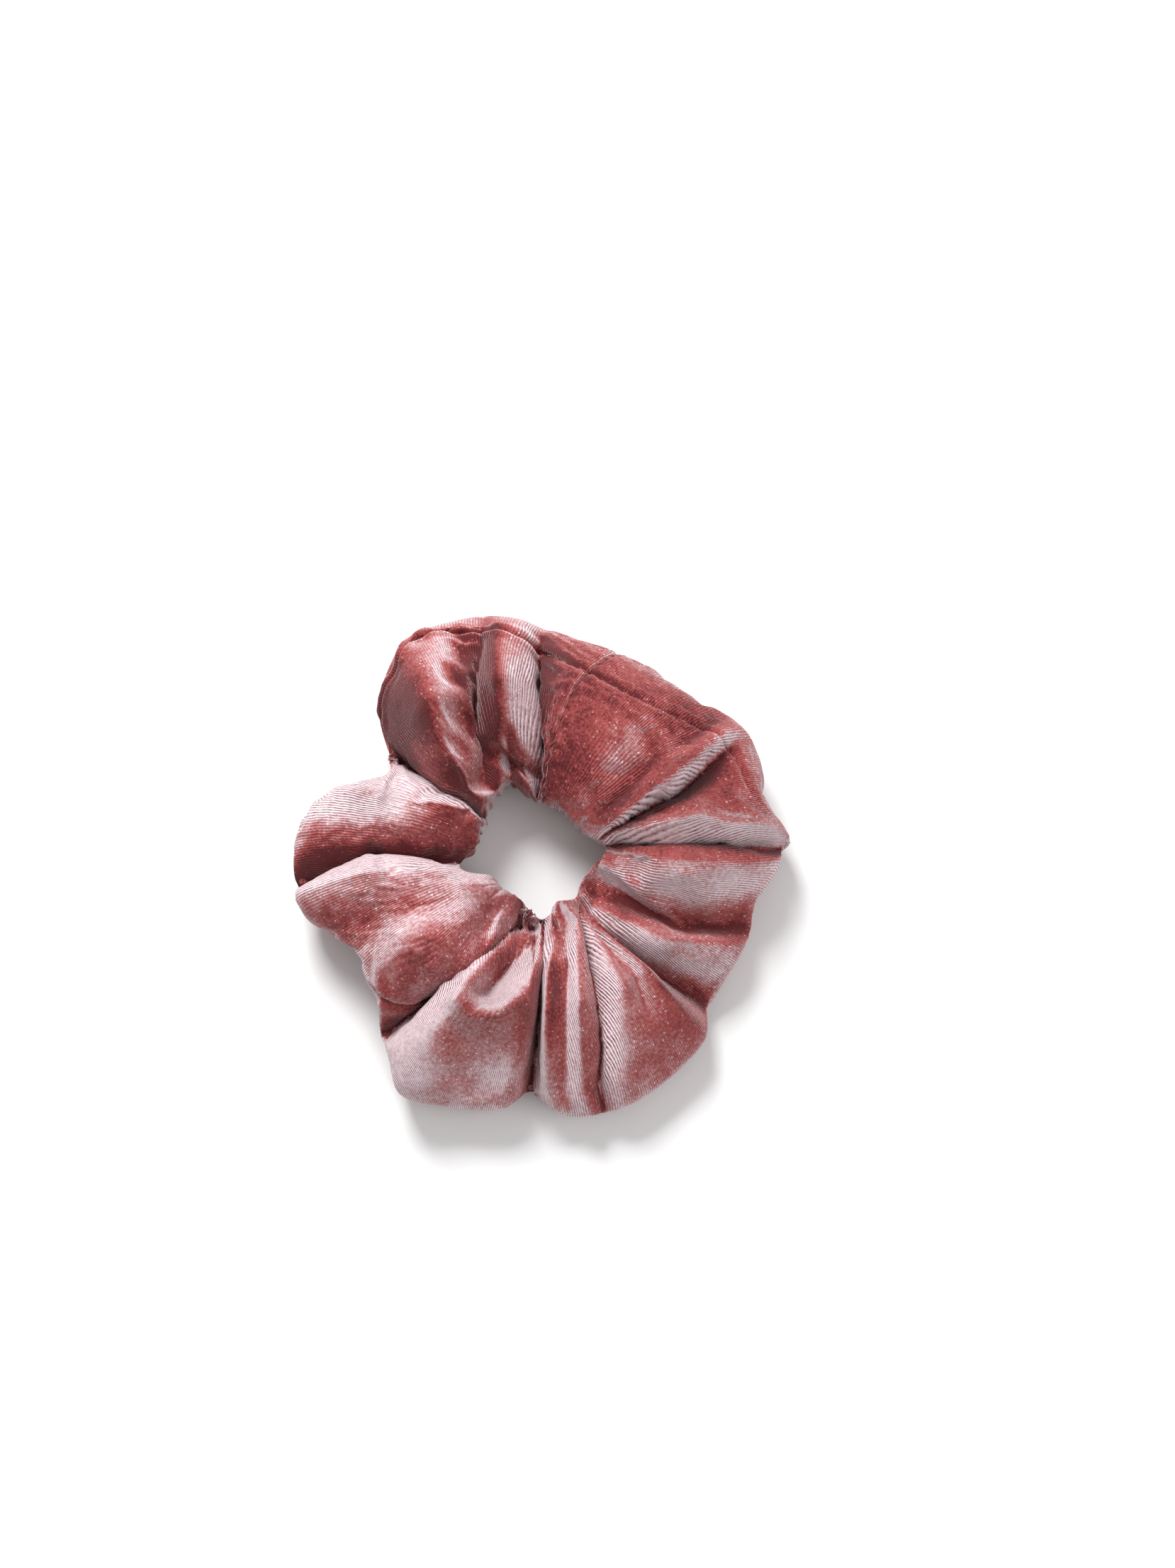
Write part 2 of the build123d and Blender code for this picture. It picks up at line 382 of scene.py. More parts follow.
def plan_of(points):
    """Plan coordinates in mm of points in metres, with the layout turned back."""
    a = np.radians(-LAYOUT_TURN)
    x, y = points[..., 0] / MM, points[..., 1] / MM
    return x * np.cos(a) - y * np.sin(a), x * np.sin(a) + y * np.cos(a)


def smoothed(values, width):
    """An array blurred along its first axis, which is periodic, by a bell curve some steps wide."""
    wave = np.fft.rfftfreq(len(values)).reshape(-1, *[1] * (values.ndim - 1))
    spectrum = np.fft.rfft(values, axis=0) * np.exp(-2 * (np.pi * wave * width) ** 2)
    return np.fft.irfft(spectrum, len(values), axis=0)


def paint_group(piece, name, weights, levels=20):
    """A vertex group from an array of weights, rounded to a number of levels."""
    group = piece.vertex_groups.new(name=name)
    rounded = np.round(np.clip(weights.ravel(), 0, 1) * levels).astype(int)
    for level in np.unique(rounded):
        group.add(np.flatnonzero(rounded == level).tolist(), level / levels, "REPLACE")


def calm_share(points):
    """Share of the settling that is left out on top, by bell curves of the plan angle."""
    angle = np.degrees(np.arctan2(*plan_of(points)[::-1])) % 360
    on_top = np.clip(2 * grid_normals(points)[..., 2], 0, 1)
    shares = [share * bell(angle - middle, width) for _, middle, width, share in CALM]
    return np.clip(on_top * sum(shares), 0, MOST_CALM)


def take_points(piece, *others):
    """The points of an object with its modifiers applied. It is deleted, and so are the others."""
    shown = piece.evaluated_get(bpy.context.evaluated_depsgraph_get())
    points = np.empty(len(piece.data.vertices) * 3)
    shown.to_mesh().vertices.foreach_get("co", points)
    shown.to_mesh_clear()
    for thing in (piece, *others):
        mesh = thing.data
        bpy.data.objects.remove(thing)
        bpy.data.meshes.remove(mesh)
    return points


def settle(points):
    """The points after a short cloth simulation, in the same order."""
    piece = new_mesh("settling", points * SIM_SCALE, grid_faces(*points.shape[:2]))
    radius = np.hypot(points[..., 0], points[..., 1])
    from_hole = radius - radius.min(1, keepdims=True)
    calm = calm_share(points)
    held = 0.1 + 0.6 * bell(distance_across(points, 0), 5) + 0.05 * bell(distance_across(points, 1), 3)
    held += 0.5 * calm
    held[np.arange(0, len(points), GRIP_EVERY), radius.argmin(1)[::GRIP_EVERY]] = 1.0
    paint_group(piece, "held", held)
    underside = np.clip(0.2 - 1.5 * grid_normals(points)[..., 2], 0, 1)
    paint_group(piece, "gathered", np.maximum(underside, 0.5 * bell(from_hole, 6 * MM)))
    cloth = piece.modifiers.new("cloth", "CLOTH")
    how = cloth.settings
    how.quality, how.mass = 6, 0.3
    how.tension_stiffness = how.compression_stiffness = 15
    how.shear_stiffness, how.bending_stiffness = 5, 0.5
    how.air_damping = 2
    how.vertex_group_mass, how.pin_stiffness = "held", 0.5
    how.shrink_min, how.shrink_max, how.vertex_group_shrink = -0.10, -0.30, "gathered"
    how.use_pressure, how.uniform_pressure_force = True, 2.0
    how.effector_weights.gravity = 0.2
    cloth.collision_settings.distance_min = 0.008
    table = square("table", 3)
    table.modifiers.new("collision", "COLLISION")
    table.collision.thickness_outer, table.collision.cloth_friction = 0.01, 5
    for number in range(1, SIM_FRAMES + 1):
        bpy.context.scene.frame_set(number)
    settled = take_points(piece, table)
    bpy.context.scene.frame_set(1)
    moved = settled.reshape(points.shape) / SIM_SCALE - points
    near_hole = bell(from_hole, 7 * MM)[..., None]
    moved += near_hole * (smoothed(moved, HOLE_BLUR) - moved)
    return points + moved * (1 - calm[..., None])


def twice_as_fine(grid):
    """Puts a new line between each two, both ways, by the four-point rule (-1, 9, 9, -1) / 16."""
    for axis in (0, 1):
        near = 9 * (grid + np.roll(grid, -1, axis))
        between = (near - np.roll(grid, 1, axis) - np.roll(grid, -2, axis)) / 16
        grid = np.stack([grid, between], axis + 1).reshape(
            *[n * (2 if k == axis else 1) for k, n in enumerate(grid.shape)]
        )
    return grid


# %% [markdown]
# ## Holding the drawn outline
# The air inside pushes the whole ring outwards by a few millimetres. So each section is put back
# between its drawn hole and rim, by the average of the sections near it, which leaves the puckers.

# %% Outline correction
def hold_outline(points, drawn, width=5):
    """Scales each section so that its nearest and furthest distances are those that were drawn.

    The distance from the axis becomes the drawn hole's plus the settled reach past the hole, times
    the ratio of the drawn width to the settled width.
    """
    distance, wanted = (np.hypot(p[..., 0], p[..., 1]) for p in (points, drawn))
    hole, rim = smoothed(distance.min(1), width), smoothed(distance.max(1), width)
    drawn_hole, drawn_rim = smoothed(wanted.min(1), width), smoothed(wanted.max(1), width)
    share = (drawn_rim - drawn_hole) / (rim - hole)
    held = drawn_hole[:, None] + (distance - hole[:, None]) * share[:, None]
    return points * np.stack([held / distance, held / distance, np.ones_like(held)], -1)


coarse = designed[::2, ::2]
settled = hold_outline(settle(coarse), coarse)
print("moved by", np.linalg.norm(settled - coarse, axis=-1).mean() / MM, "mm on average")

# %% Small folds pressed in
VALLEY_WIDTH, VALLEY_DEPTH = 11, 3.0  # grid steps that a valley is compared over, and mm of depth
upwards = np.clip(grid_normals(designed)[..., 2] * 2, 0, 1)
height = (designed + twice_as_fine(settled - coarse))[..., 2] / MM
# valley: how far a place lies below its neighbours round the ring, the mask of the painted shade in the
# creases
valley = np.clip((smoothed(height, VALLEY_WIDTH) - height) / VALLEY_DEPTH, 0, 1)
pressed = settled.copy()
pressed[..., 2] += stroke_sum(STROKES, *plan_of(settled)) * upwards[::2, ::2] * MM
print("strokes move the cloth by up to", np.abs(pressed - settled).max() / MM, "mm")

# %% [markdown]
# ## Leaving room for the elastic
# The elastic runs inside the tube, so no valley can be flatter than the band with cloth above and
# below it. The band stands on edge where there is room and leans over in the valleys. Then the cloth
# is parted to let it through.

# %% Room inside the cover
ELASTIC_LENGTH = 150 * MM
ELASTIC_WIDTH = 6 * MM
ELASTIC_THICKNESS = 1 * MM
ELASTIC_LAP = 12 * MM
ELASTIC_RADIUS = ELASTIC_LENGTH / (2 * np.pi)
LAP_ANGLE = ELASTIC_LAP / ELASTIC_RADIUS  # radians
ELASTIC_STEPS = 360
ELASTIC_HEIGHTS = (4.9 * MM, 9.0 * MM)  # how low and how high the band's middle may lie
ROOM_REACH, ROOM_BINS = 2.5 * MM, 120  # how near the band the room is read, and angle bins
ROOM_BLUR = 2.0  # angle bins
ROOM_GAP = 0.6 * MM  # from the band to the lining
ROOM_FADE = 2.5 * MM  # how far past the band's edges the cloth is still parted
ROOM_SOFTNESS = 0.3 * MM
LOWEST = 0.3 * MM  # above the table
CLOTH_THICKNESS = 1.2 * MM


def room_inside(points, radius, reach, steps):
    """Where the band's middle lies and how much room it has, at even angles round the ring.

    In each angle bin near the band, the lowest of the upper points and the highest of the lower
    ones bound the room. The band's middle is halfway, but within two limits, as a pulled band
    keeps low and level. Both are blurred round the ring.
    """
    distance = np.hypot(points[..., 0], points[..., 1])
    angle = np.arctan2(points[..., 1], points[..., 0]) % (2 * np.pi)
    near = np.abs(distance - radius) < reach
    bins = (angle[near] / (2 * np.pi) * steps).astype(int) % steps
    height = points[..., 2][near]
    top, bottom = np.zeros(steps), np.full(steps, 1.0)
    np.maximum.at(top, bins, height)
    np.minimum.at(bottom, bins, height)
    middle = (top + bottom) / 2
    upper = height > middle[bins]
    ceiling, floor_height = top.copy(), bottom.copy()
    np.minimum.at(ceiling, bins[upper], height[upper])
    np.maximum.at(floor_height, bins[~upper], height[~upper])
    middle = smoothed(np.clip((ceiling + floor_height) / 2, *ELASTIC_HEIGHTS), ROOM_BLUR)
    free = 2 * np.minimum(ceiling - middle, middle - floor_height)
    return middle, smoothed(np.maximum(free, 0), ROOM_BLUR)


inner_face = pressed - grid_normals(pressed) * CLOTH_THICKNESS
band_middle, room = room_inside(inner_face, ELASTIC_RADIUS, ROOM_REACH, ROOM_BINS)
print("room for the elastic", room.min() / MM, "to", room.max() / MM, "mm")


def elastic_section(at):
    """Height of the band's middle, and the sine of its lean, at angles round the ring."""
    bins = (np.arange(len(room)) + 0.5) / len(room) * 2 * np.pi
    height = np.interp(at, bins, band_middle, period=2 * np.pi)
    free = np.interp(at, bins, room, period=2 * np.pi)
    return height, np.clip((free - 1.2 * MM) / ELASTIC_WIDTH, 0.15, 1.0)


def make_room(points, turn):
    """Lifts the top and lowers the underside to where band, cloth and a gap fit between them.

    A point nearer to the band's middle than half the band's height, by its lean, plus the cloth and
    the gap, moves by what is missing, as a soft positive part. One more band lies at the lap. The
    move fades past the band's edges and towards the sides of the tube.
    """
    distance = np.hypot(points[..., 0], points[..., 1])
    at = np.arctan2(points[..., 1], points[..., 0])
    middle_height, rise = elastic_section(at)
    flat = np.sqrt(1 - rise**2)
    lapped = ELASTIC_THICKNESS * np.exp(-(((at - np.pi / 2) / LAP_ANGLE) ** 4))
    half_height = (ELASTIC_WIDTH * rise + ELASTIC_THICKNESS * flat) / 2 + lapped * flat
    half_width = (ELASTIC_WIDTH * flat + ELASTIC_THICKNESS * rise) / 2 + lapped * rise
    beyond = np.maximum(np.abs(distance - ELASTIC_RADIUS) - half_width - CLOTH_THICKNESS, 0)
    way = np.where(np.sin(turn) >= 0, 1.0, -1.0)
    missing = half_height + 1.25 * CLOTH_THICKNESS + ROOM_GAP - way * (points[..., 2] - middle_height)
    move = ROOM_SOFTNESS * np.logaddexp(0, missing / ROOM_SOFTNESS)
    move *= bell(beyond, ROOM_FADE) * np.clip(4 * np.abs(np.sin(turn)), 0, 1)
    height = points[..., 2] + way * move
    print("cloth parted by up to", move.max() / MM, "mm, lowest point", height.min() / MM, "mm")
    return np.concatenate([points[..., :2], np.maximum(height, LOWEST)[..., None]], -1)


parted = make_room(pressed, ring_and_turn(AROUND, ACROSS)[1][::2, ::2])
surface = designed + twice_as_fine(parted - coarse)

# %% [markdown]
# ## Sewing the seams into the surface
# A seam pulls the pile into a narrow groove, and the allowance inside lifts the cloth beside it into
# two soft rolls. Both are pushed into the surface by the distance from the seam line.

# %% Grooves and rolls
GROOVE_WIDTH = 0.55  # mm
ROLL_PLACE, ROLL_WIDTH = 2.0, 1.1  # mm from the seam, and mm
BULGES, BULGES_WIDTH = 112, 22  # degrees in plan: there the long seam runs at the rim and stands out


def seam_relief(distance, depth, roll):
    """Height in mm at a distance in mm from a seam: a narrow groove between two low rolls."""
    return -depth * bell(distance, GROOVE_WIDTH) + roll * bell(distance - ROLL_PLACE, ROLL_WIDTH)


ring_angle = np.degrees(np.arctan2(*plan_of(surface)[::-1]))
long_seam_roll = 0.22 + 0.7 * bell(ring_angle - BULGES, BULGES_WIDTH)
relief = seam_relief(distance_across(surface, 1), 1.1, long_seam_roll)
relief = relief + seam_relief(distance_across(surface, 0), 0.6, 0.12)
surface = surface + grid_normals(surface) * relief[..., None] * MM
print("seam relief from", relief.min(), "to", relief.max(), "mm")

# %% [markdown]
# ## The cloth's inner face
# The cover has an inner face too, a cloth's thickness in. In a tight fold that would reach through
# the other side. Shrinkwrap moves those points back inside.

# %% The cover, with its inner face
LINING_PASSES = 3
LINING_GAP = 0.3 * MM  # least distance from the lining to the outer face, in the tightest folds


def kept_inside(points, outer):
    """The points of an inner face, with those past the outer face moved inside by a gap."""
    target = new_mesh("outer", outer, grid_faces(*outer.shape[:2]))
    inner = new_mesh("inner", points, grid_faces(*points.shape[:2]))
    wrap = inner.modifiers.new("inside", "SHRINKWRAP")
    wrap.target, wrap.offset = target, LINING_GAP
    wrap.wrap_method, wrap.wrap_mode = "NEAREST_SURFACEPOINT", "INSIDE"
    return take_points(inner, target).reshape(points.shape)


lining = parted - grid_normals(parted) * CLOTH_THICKNESS
for _ in range(LINING_PASSES):
    lining = kept_inside(lining, surface)
lining_faces = grid_faces(*lining.shape[:2])[:, ::-1] + surface.shape[0] * surface.shape[1]
cover = new_mesh(
    "velvet_cover",
    np.concatenate([surface.reshape(-1, 3), lining.reshape(-1, 3)]),
    np.concatenate([grid_faces(AROUND, ACROSS), lining_faces]),
)


def cloth_share(points, axis):
    """Share of the cloth's length at each grid line and at the end, by the mean length of a step."""
    steps = np.linalg.norm(np.roll(points, -1, axis) - points, axis=-1).mean(1 - axis)
    return np.append(0, np.cumsum(steps)) / steps.sum()


def cloth_map(step):
    """Corner coordinates of a closed grid's quads: u is once round the ring, v once round the tube.

    They follow the length of the cloth, so the rows of pile keep their spacing on a steep fold.
    """
    u, v = cloth_share(surface, 0)[::step], cloth_share(surface, 1)[::step]
    u0, v0 = np.meshgrid(u[:-1], v[:-1], indexing="ij")
    u1, v1 = np.meshgrid(u[1:], v[1:], indexing="ij")
    return np.stack([u0, v0, u1, v0, u1, v1, u0, v1], -1).reshape(-1, 4, 2)


uv = cover.data.uv_layers.new(name="cloth")
uv_points = np.concatenate([cloth_map(1), cloth_map(2)[:, ::-1]])
uv.data.foreach_set("uv", uv_points.astype(np.float32).ravel())
print("cover", len(cover.data.polygons) * 2, "triangles")

# %% [markdown]
# ## Painted sheen and shade
# Patches of painted silver sheen and of painted shade, each a stroke like those of the small folds,
# change how pale the velvet is. The bottoms of the valleys get painted shade. The sum is stored on
# the cloth's points for the velvet to read.

# %% Patches of painted sheen and shade
# Painted sheen (positive) or painted shade (negative), width in mm, and points of the line in mm, before the
# layout is turned
SHEEN_AND_SHADE_STROKES = [
    ("first bulge, middle", 0.22, 3.5, [(-22, 41), (-19, 30)]),
    ("first bulge, sides", -0.30, 6.0, [(-31, 36), (-27, 20)]),
    ("first bulge, far side", -0.42, 3.5, [(-17, 38), (-13.5, 16)]),
    ("second bulge, shade", -0.25, 3.0, [(-11, 44), (-9, 24)]),
    ("second bulge, light", 0.20, 2.5, [(-4, 38), (-3, 20)]),
    ("panel, light", 0.12, 5.0, [(14, 27), (30, 22)]),
    ("panel, shade", -0.16, 7.0, [(10, 40), (34, 30)]),
    ("panel, shade by the hole", -0.14, 4.0, [(6, 17), (18, 10)]),
    ("long ridge, light", 0.25, 3.0, [(32, 19), (42, 24)]),
    ("flap, light", 0.30, 3.0, [(22, 4), (53, 3)]),
    ("right lobe, light", 0.20, 5.0, [(20, -4), (42, -9)]),
    ("right lobe, shade", -0.14, 3.5, [(22, -12), (46, -14)]),
    ("right lobe, lower light", 0.22, 4.0, [(22, -20), (40, -22)]),
    ("fan, light", 0.28, 6.0, [(11, -20), (18, -46)]),
    ("fan, shade", -0.16, 5.0, [(28, -26), (34, -42)]),
    ("narrow ridge, shade", -0.22, 2.5, [(4, -16), (3, -44)]),
    ("pocket lobe, light", 0.42, 6.5, [(-8, -19), (-24, -34), (-29, -50)]),
    ("pocket lobe, foot", 0.26, 6.5, [(-24, -50), (-8, -51)]),
    ("pocket, light", 0.30, 2.5, [(-12, -27), (-10, -34)]),
    ("wide lobe, light", 0.36, 6.0, [(-46, -9), (-10, -12)]),
    ("wide lobe, shade", -0.15, 6.0, [(-32, -30), (-12, -22)]),
    ("short lobe, light", 0.55, 5.0, [(-46, 10), (-34, 9), (-24, 17)]),
    ("short lobe, hollow", 0.30, 3.5, [(-40, 8), (-26, 7)]),
    ("short lobe, near edge", 0.15, 3.0, [(-44, 2), (-16, 3)]),
]
VALLEY_SHADE = 0.5  # painted shade: how much less pale the bottom of a valley is

painted_sheen_and_shade = (stroke_sum(SHEEN_AND_SHADE_STROKES, *plan_of(surface)) - VALLEY_SHADE * valley) * upwards
painted_sheen_and_shade_layer = cover.data.attributes.new("painted_sheen_and_shade", "FLOAT", "POINT")
painted_sheen_and_shade_layer.data.foreach_set("value", np.append(painted_sheen_and_shade.ravel(), np.zeros(lining[..., 0].size)).astype(np.float32))
print("nap from", painted_sheen_and_shade.min(), "to", painted_sheen_and_shade.max())

# %% [markdown]
# ## Velvet
# Velvet is deep rose where the eye looks into the pile and pale and silvery where it looks across it.
# Here that sheen is painted into the colour: slopes that face clockwise round the ring are painted
# paler, and so are places that turn from the eye and the near side, towards -Y, and the stored
# patches add painted sheen and shade. The gaps between the rows of pile get painted shade where
# the cloth is painted silvery. Random fibres and a few painted glints do the rest.

# %% Node helpers
def feed(tree, socket, value):
    """Links a socket to another, or sets it to a number or a colour."""
    if isinstance(value, bpy.types.NodeSocket):
        tree.links.new(value, socket)
    else:
        socket.default_value = value


def add_node(tree, kind, inputs=None, **values):
    """A new node with some of its settings, and with inputs fed by their name or number."""
    made = tree.nodes.new(kind)
    for key, value in values.items():
        setattr(made, key, value)
    for key, value in (inputs or {}).items():
        feed(tree, made.inputs[key], value)
    return made


def calc(tree, operation, *terms):
    """A math node's result."""
    return add_node(tree, "ShaderNodeMath", dict(enumerate(terms)), operation=operation).outputs[0]


def calc_vector(tree, operation, *terms):
    """A vector math node, whose result is output 0 for a vector and output 1 for a number."""
    return add_node(tree, "ShaderNodeVectorMath", dict(enumerate(terms)), operation=operation)


def mottle(tree, place, scale, detail=2.0):
    """Noise from 0 to 1 with its middle at 0.5."""
    inputs = {"Vector": place, "Scale": scale, "Detail": detail}
    return add_node(tree, "ShaderNodeTexNoise", inputs).outputs["Fac"]


def wave(tree, place, scale, distortion, **kind):
    """Even light and dark bands from 0 to 1."""
    inputs = {"Vector": place, "Scale": scale, "Distortion": distortion}
    return add_node(tree, "ShaderNodeTexWave", inputs, **kind).outputs["Fac"]


def colour_ramp(tree, share, stops):
    """A colour ramp with (position, colour) stops."""
    made = add_node(tree, "ShaderNodeValToRGB", {"Fac": share})
    while len(made.color_ramp.elements) < len(stops):
        made.color_ramp.elements.new(0.5)
    for element, (position, colour) in zip(made.color_ramp.elements, stops):
        element.position, element.color = position, (*colour, 1)
    return made.outputs["Color"]


def new_material(name, settings):
    """A material, its node tree and its Principled node, whose inputs take the settings."""
    material = bpy.data.materials.new(name)
    material.use_nodes = True
    skin = material.node_tree.nodes["Principled BSDF"]
    for key, value in settings.items():
        skin.inputs[key].default_value = value
    return material, material.node_tree, skin


def add_bump(tree, skin, height, strength, depth):
    """A bump on the Principled node from a height, by its strength and its depth in metres."""
    inputs = {"Strength": strength, "Distance": depth, "Height": height}
    bump = add_node(tree, "ShaderNodeBump", inputs)
    feed(tree, skin.inputs["Normal"], bump.outputs["Normal"])


# %% Velvet material
PILE_ROWS = 680  # rows of pile round the whole ring, about 0.65 mm apart at the rim
ROWS_DOUBLE_FROM, ROWS_DOUBLE_OVER = 27, 8  # mm from the middle, and mm
SHEEN_GRADIENT = (-0.3, -3.2, 0.0)  # painted sheen: how much paler the velvet is painted for each metre along X, Y and Z
SHEEN_BASE = 0.27  # painted sheen in the middle, on a level place seen from above
SLOPE_SHARE, FACING_SHARE = 0.52, 0.55  # painted sheen that the slope and the turn from the eye add
PATCHES = ((55.0, 0.60), (190.0, 0.50))  # scale and amount of the mottled nap, large and small
FIBRE_SCALE, FIBRE_SHARE = 1500.0, 0.75
# painted glints: bright flecks by their scale, size and share of the painted sheen
GLINT_SCALE, GLINT_SIZE, GLINT_SHARE = 700.0, 0.17, 0.35
# painted shade in the gaps between the rows of pile
ROW_SHADE_COLOUR = (0.16, 0.035, 0.042, 1)
VELVET_FINISH = {
    "Roughness": 0.7, "Specular IOR Level": 0.25,
    "Sheen Weight": 0.3, "Sheen Roughness": 0.35, "Sheen Tint": (1.0, 0.86, 0.89, 1),
}
# from the painted shade of the deepest creases, through the rose of the cloth, to its painted silver sheen
ROSE_TO_SILVER = [
    (0.0, (0.110, 0.014, 0.016)), (0.12, (0.215, 0.031, 0.031)), (0.34, (0.340, 0.070, 0.066)),
    (0.58, (0.500, 0.225, 0.230)), (0.95, (0.830, 0.670, 0.710)),
]


def pile_rows(tree, cloth, place, count):
    """A wave from 0 to 1 counted along the cloth, with a little waver."""
    split = add_node(tree, "ShaderNodeSeparateXYZ", {0: cloth})
    waver = calc(tree, "MULTIPLY", mottle(tree, place, 240.0), 5.0)
    phase = calc(tree, "ADD", calc(tree, "MULTIPLY", split.outputs["X"], count * 2 * np.pi), waver)
    return calc(tree, "MULTIPLY_ADD", calc(tree, "SINE", phase), 0.5, 0.5)


def velvet():
    """Rose to a painted silver sheen, with painted shade between the rows of pile where it is silver."""
    material, tree, skin = new_material("velvet", VELVET_FINISH)
    texture = add_node(tree, "ShaderNodeTexCoord")
    place, normal = texture.outputs["Object"], texture.outputs["Normal"]
    cloth = add_node(tree, "ShaderNodeUVMap", uv_map="cloth").outputs["UV"]

    # twice as many rows past the middle of the tube as near the hole, where the cloth is bunched
    flat_place = calc_vector(tree, "MULTIPLY", place, (1, 1, 0)).outputs[0]
    reach = calc_vector(tree, "LENGTH", flat_place).outputs[1]
    start = -ROWS_DOUBLE_FROM / ROWS_DOUBLE_OVER
    outer = calc(tree, "MULTIPLY_ADD", reach, 1 / (ROWS_DOUBLE_OVER * MM), start)
    outer.node.use_clamp = True
    few, many = (pile_rows(tree, cloth, place, count) for count in (PILE_ROWS // 2, PILE_ROWS))
    rows = add_node(tree, "ShaderNodeMix", {"Factor": outer, "A": few, "B": many}).outputs["Result"]

    # painted sheen: slopes that face clockwise round the ring, places that turn from the eye and the near
    # side towards -Y are painted paler, and the stored patches add painted sheen and shade
    clockwise = calc_vector(tree, "CROSS_PRODUCT", flat_place, (0, 0, 1)).outputs[0]
    clockwise = calc_vector(tree, "NORMALIZE", clockwise).outputs[0]
    slope = calc_vector(tree, "DOT_PRODUCT", normal, clockwise).outputs[1]
    facing = add_node(tree, "ShaderNodeLayerWeight", {"Blend": 0.5})
    painted_sheen_gradient = calc_vector(tree, "DOT_PRODUCT", place, SHEEN_GRADIENT).outputs[1]
    painted_patches = add_node(tree, "ShaderNodeAttribute", attribute_name="painted_sheen_and_shade").outputs["Fac"]
    share = calc(tree, "ADD", calc(tree, "ADD", painted_sheen_gradient, SHEEN_BASE), painted_patches)
    share = calc(tree, "MULTIPLY_ADD", slope, SLOPE_SHARE, share)
    share = calc(tree, "MULTIPLY_ADD", facing.outputs["Facing"], FACING_SHARE, share)
    for scale, weight in PATCHES:
        patches = calc(tree, "SUBTRACT", mottle(tree, place, scale, 3.0), 0.5)
        share = calc(tree, "MULTIPLY_ADD", patches, weight, share)

    # random fibres, and painted glints as bright flecks
    fibres = mottle(tree, place, FIBRE_SCALE)
    share = calc(tree, "MULTIPLY_ADD", calc(tree, "SUBTRACT", fibres, 0.5), FIBRE_SHARE, share)
    glint_cells = add_node(tree, "ShaderNodeTexVoronoi", {"Vector": place, "Scale": GLINT_SCALE})
    glints = calc(tree, "LESS_THAN", glint_cells.outputs["Distance"], GLINT_SIZE)
    share = calc(tree, "MULTIPLY_ADD", glints, GLINT_SHARE, share)
    share.node.use_clamp = True
    colour = colour_ramp(tree, share, ROSE_TO_SILVER)

    # painted shade in the gaps between the rows of pile, deeper where the painted sheen is silver
    row_shade = calc(tree, "POWER", calc(tree, "SUBTRACT", 1.0, rows), 2.0)
    row_shade = calc(tree, "MULTIPLY", row_shade, calc(tree, "MULTIPLY_ADD", share, 0.85, 0.04))
    row_shade = calc(tree, "MULTIPLY", row_shade, calc(tree, "MULTIPLY_ADD", mottle(tree, place, 900.0), 2.0, -0.1))
    row_shade.node.use_clamp = True
    dark = add_node(tree, "ShaderNodeMix", {0: row_shade, 6: colour, 7: ROW_SHADE_COLOUR}, data_type="RGBA")
    feed(tree, skin.inputs["Base Color"], dark.outputs[2])
    add_bump(tree, skin, calc(tree, "MULTIPLY_ADD", rows, 0.8, fibres), 0.7, 0.3 * MM)
    return material


cover.data.materials.append(velvet())
print("velvet has", len(cover.active_material.node_tree.nodes), "nodes")

# %% [markdown]
# ## In place of the halves
# The CAD has a still half and a pulled half, joined by the stretch slide. The real cloth is one
# piece, so each piece has its place baked into its mesh, and the CAD halves are hidden.


def stretches(piece):
    """Bakes a piece's place into its mesh."""
    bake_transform(piece)


stretches(cover)
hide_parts("cover_still_half", "cover_pulled_half")

# %% [markdown]
# ## Thread
# Both seams are sewn by machine. Between two needle holes the thread lies on the cloth as a short
# bridge whose ends dive in. Every stitch is a short tube along its own bit of the seam, and all of
# them are worked out as one array.

# %% Stitches
THREAD_RADIUS = 0.25 * MM
STITCH_PITCH = 3.0 * MM
STITCH_SHARE = 0.7  # of the pitch; the rest is the gap to the next stitch
STITCH_START = 0.15  # share of the pitch before a stitch
STITCH_RINGS, STITCH_SIDES = 7, 6


def tube_walls(index):
    """Quads between the rings of tubes, from point numbers whose last axis goes round a ring."""
    low, high = index[..., :-1, :], index[..., 1:, :]
    return np.stack([low, np.roll(low, -1, -1), np.roll(high, -1, -1), high], -1).reshape(-1, 4)


def threads(name, paths, ups, radius):
    """Short closed tubes along paths, (count, rings, 3), one for each, as one mesh.

    Each ring is a circle across the path. Its radius is the thread's times the square root of the
    sine of the share of the path, which rounds the ends.
    """
    count, rings = paths.shape[:2]
    along = unit(np.gradient(paths, axis=1))
    side = unit(np.cross(along, ups))
    up = np.cross(side, along)
    taper = np.sqrt(np.sin(np.pi * np.linspace(0.02, 0.98, rings)))[None, :, None, None] * radius
    turn = (2 * np.pi * np.arange(STITCH_SIDES) / STITCH_SIDES)[None, None, :, None]
    circle = np.cos(turn) * side[:, :, None] + np.sin(turn) * up[:, :, None]
    points = paths[:, :, None] + circle * taper
    index = np.arange(count * rings * STITCH_SIDES).reshape(count, rings, STITCH_SIDES)
    caps = index[:, 0, ::-1].tolist() + index[:, -1].tolist()
    return new_mesh(name, points, tube_walls(index), caps)


